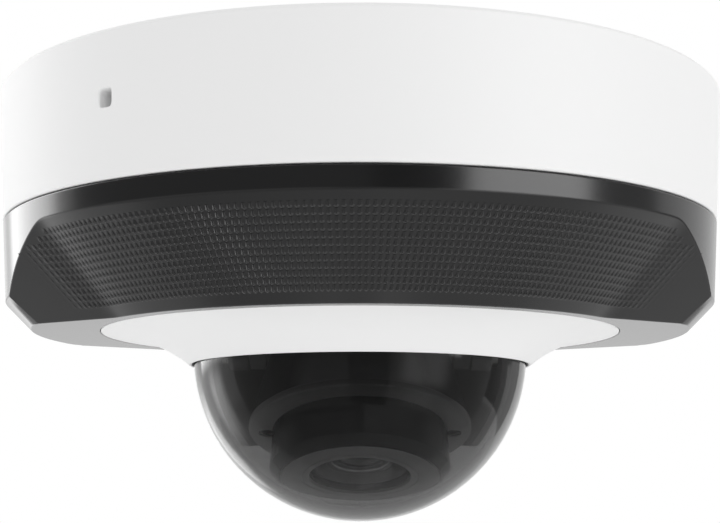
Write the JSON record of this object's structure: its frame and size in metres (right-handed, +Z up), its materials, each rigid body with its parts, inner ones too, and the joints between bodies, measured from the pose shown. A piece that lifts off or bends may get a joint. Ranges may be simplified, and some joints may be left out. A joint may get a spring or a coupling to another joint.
{
  "type": "dome cctv camera",
  "caption": "Compact ceiling dome camera: white cover, black faceted housing, white collar and smoked bubble over a lens module that pans, tilts and turns.",
  "frame": {"origin": "centre of the ceiling plate's upper face, which is the centre of the circle of ceiling screws", "axes": "+Z up toward the ceiling, the bubble hangs down, the lens looks toward -Y"},
  "size_m": [0.11, 0.11, 0.0636],
  "materials": {
    "plate_grey": "fine spark-eroded matt",
    "cover_white": "satin, very fine moulded grain",
    "collar_white": "satin, smooth",
    "housing_black": "satin black, pocketed facets",
    "bubble_smoke": "clear polished, lightly smoked",
    "seal_rubber": "dull",
    "inner_black": "matt moulded",
    "module_black": "satin moulded",
    "bezel_grey": "fine turned satin",
    "lens_black": "black anodised",
    "lens_glass": "polished, coated",
    "filter_glass": "polished, coated",
    "lamp_red": "polished dark red",
    "board_green": "solder mask",
    "chip_black": "moulded epoxy",
    "header_ivory": "moulded",
    "socket_steel": "stamped",
    "screw_steel": "zinc plated",
    "chassis_metal": "die cast",
    "washer_white": "slippery"
  },
  "bodies": {
    "root": {"mounting_plate": "plate_grey", "cover": "cover_white", "cable_grommet": "seal_rubber", "body_seal": "seal_rubber", "lower_housing": "housing_black", "housing_screws": "screw_steel", "collar": "collar_white", "collar_screws": "screw_steel", "dome_gasket": "seal_rubber", "dome_bubble": "bubble_smoke", "dome_clamp_ring": "inner_black", "main_board": "board_green", "board_screws": "screw_steel", "board_chips": "chip_black", "heat_sink": "chassis_metal", "cable_header": "header_ivory", "card_slot": "socket_steel", "reset_switch": "socket_steel", "microphone": "socket_steel", "microphone_boot": "seal_rubber", "chassis": "chassis_metal", "chassis_screws": "screw_steel", "pan_washer": "washer_white"},
    "reset": {"reset_button": "chip_black"},
    "pan": {"pan_cradle": "inner_black", "pan_clip": "socket_steel", "tilt_pins": "screw_steel"},
    "tilt": {"tilt_cradle": "inner_black"},
    "module": {"module_cup": "module_black", "module_cap": "inner_black", "sensor_board": "board_green", "sensor_screws": "screw_steel", "image_sensor": "chip_black", "ir_filter": "filter_glass", "lens_mount": "inner_black", "rear_lens": "lens_glass", "lens_barrel": "lens_black", "lens_ring": "lens_black", "front_lens": "lens_glass", "lamp_board": "board_green", "ir_lamps": "header_ivory", "lamp_windows": "lamp_red", "lamp_face": "module_black", "face_screws": "screw_steel", "lens_shroud": "module_black", "lens_bezel": "bezel_grey"}
  },
  "joints": [
    {"name": "reset_press", "type": "slide", "parent": "root", "child": "reset", "axis": [0, 0, 1], "range_m": [0, 0.0003], "stiffness_N_per_m": 500, "springref_m": -0.0004},
    {"name": "pan", "type": "hinge", "parent": "root", "child": "pan", "pos_m": [0, 0, -0.03819], "axis": [0, 0, 1], "range_deg": [-177.5, 177.5]},
    {"name": "tilt", "type": "hinge", "parent": "pan", "child": "tilt", "pos_m": [0, 0, -0.03819], "axis": [-1, 0, 0], "range_deg": [-22.5, 42.5]},
    {"name": "lens_turn", "type": "hinge", "parent": "tilt", "child": "module", "pos_m": [0, 0, -0.03819], "axis": [0, -0.3827, -0.9239], "range_deg": [-177.5, 177.5]}
  ]
}
